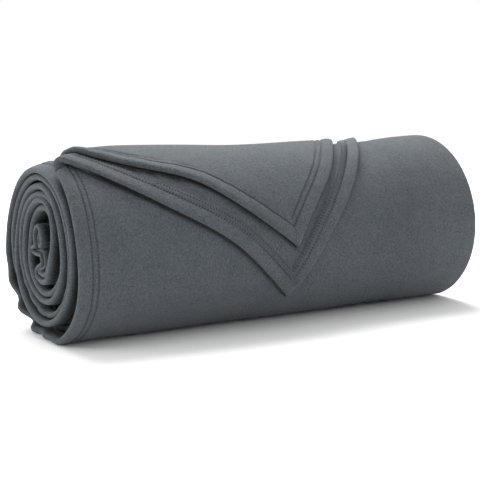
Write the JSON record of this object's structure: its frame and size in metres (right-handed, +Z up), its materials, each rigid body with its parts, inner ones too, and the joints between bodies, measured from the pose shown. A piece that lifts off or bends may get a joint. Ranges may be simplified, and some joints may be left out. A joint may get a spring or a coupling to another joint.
{
  "type": "rolled throw blanket",
  "caption": "Fleece throw folded double and rolled up, lying on its side, with stitched hems and one corner of the loose end turned back.",
  "frame": {"origin": "middle of the flat underside that the roll rests on", "axes": "+X along the roll from the open hemmed edges to the folded end, -Y to the front where the turned-back corner lies, +Z up"},
  "size_m": [0.5, 0.2164, 0.1993],
  "materials": {
    "fleece": "brushed polyester fleece, blue-grey, matt with a short pile",
    "hem": "the same fleece turned under and sewn flat",
    "thread": "textured polyester thread, a shade darker than the fleece"
  },
  "bodies": {
    "roll": {"outer_side_hem": "hem", "outer_side_looper_thread": "thread", "outer_side_needle_thread_1": "thread", "outer_side_needle_thread_2": "thread", "inner_side_hem": "hem", "inner_side_looper_thread": "thread", "inner_side_needle_thread_1": "thread", "inner_side_needle_thread_2": "thread", "outer_core_hem": "hem", "outer_core_looper_thread": "thread", "outer_core_needle_thread_1": "thread", "outer_core_needle_thread_2": "thread", "inner_core_hem": "hem", "inner_core_looper_thread": "thread", "inner_core_needle_thread_1": "thread", "inner_core_needle_thread_2": "thread", "fleece_sheet": "fleece", "turned_outer_ply": "fleece", "turned_outer_side_hem": "hem", "turned_outer_end_hem": "hem", "turned_outer_side_looper_thread": "thread", "turned_outer_end_looper_thread": "thread", "turned_outer_side_needle_thread_1": "thread", "turned_outer_end_needle_thread_1": "thread", "turned_outer_side_needle_thread_2": "thread", "turned_outer_end_needle_thread_2": "thread", "turned_inner_ply": "fleece", "turned_inner_side_hem": "hem", "turned_inner_end_hem": "hem", "turned_inner_side_looper_thread": "thread", "turned_inner_end_looper_thread": "thread", "turned_inner_side_needle_thread_1": "thread", "turned_inner_end_needle_thread_1": "thread", "turned_inner_side_needle_thread_2": "thread", "turned_inner_end_needle_thread_2": "thread"},
    "corner": {"corner_outer_ply": "fleece", "corner_outer_side_hem": "hem", "corner_outer_end_hem": "hem", "corner_outer_side_looper_thread": "thread", "corner_outer_end_looper_thread": "thread", "corner_outer_side_needle_thread_1": "thread", "corner_outer_end_needle_thread_1": "thread", "corner_outer_side_needle_thread_2": "thread", "corner_outer_end_needle_thread_2": "thread", "corner_inner_ply": "fleece", "corner_inner_side_hem": "hem", "corner_inner_end_hem": "hem", "corner_inner_side_looper_thread": "thread", "corner_inner_end_looper_thread": "thread", "corner_inner_side_needle_thread_1": "thread", "corner_inner_end_needle_thread_1": "thread", "corner_inner_side_needle_thread_2": "thread", "corner_inner_end_needle_thread_2": "thread"}
  },
  "joints": [
    {"name": "corner_lift", "type": "hinge", "parent": "roll", "child": "corner", "pos_m": [0, -0.05686, 0.1835], "axis": [-1, 0, 0], "range_deg": [0, 70]}
  ]
}
